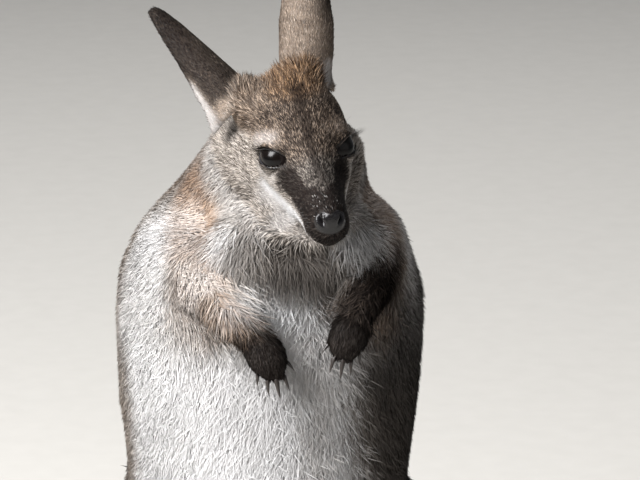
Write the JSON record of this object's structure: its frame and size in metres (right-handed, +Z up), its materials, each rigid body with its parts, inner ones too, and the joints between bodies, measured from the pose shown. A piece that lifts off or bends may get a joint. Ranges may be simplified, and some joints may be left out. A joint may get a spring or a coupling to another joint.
{
  "type": "wallaby",
  "caption": "Life-size, still museum model of a wallaby that sits upright on its hind feet and tail, forepaws held against its chest.",
  "frame": {"origin": "on the floor, under the middle of the whole model's box", "axes": "+Z up, +Y from the nose towards the tip of the tail, +X towards the animal's left side"},
  "size_m": [0.2686, 1.0036, 0.663],
  "materials": {
    "coat": "matt grizzled fur",
    "horn": "dark horn with a dull shine",
    "eye": "wet and glossy"
  },
  "bodies": {
    "root": {"claw_foot_2_left": "horn", "claw_foot_2_right": "horn", "claw_foot_3_left": "horn", "claw_foot_3_right": "horn", "claw_foot_4_left": "horn", "claw_foot_4_right": "horn", "claw_foot_5_left": "horn", "claw_foot_5_right": "horn", "claw_hand_1_left": "horn", "claw_hand_1_right": "horn", "claw_hand_2_left": "horn", "claw_hand_2_right": "horn", "claw_hand_3_left": "horn", "claw_hand_3_right": "horn", "claw_hand_4_left": "horn", "claw_hand_4_right": "horn", "claw_hand_5_left": "horn", "claw_hand_5_right": "horn", "ear_left": "coat", "ear_right": "coat", "eye_left": "eye", "eye_right": "eye", "foot_left": "coat", "foot_right": "coat", "forearm_left": "coat", "forearm_right": "coat", "hand_left": "coat", "hand_right": "coat", "head": "coat", "neck": "coat", "shank_left": "coat", "shank_right": "coat", "tail_1": "coat", "tail_2": "coat", "tail_3": "coat", "tail_4": "coat", "thigh_left": "coat", "thigh_right": "coat", "trunk": "coat", "upper_arm_left": "coat", "upper_arm_right": "coat"}
  },
  "joints": []
}
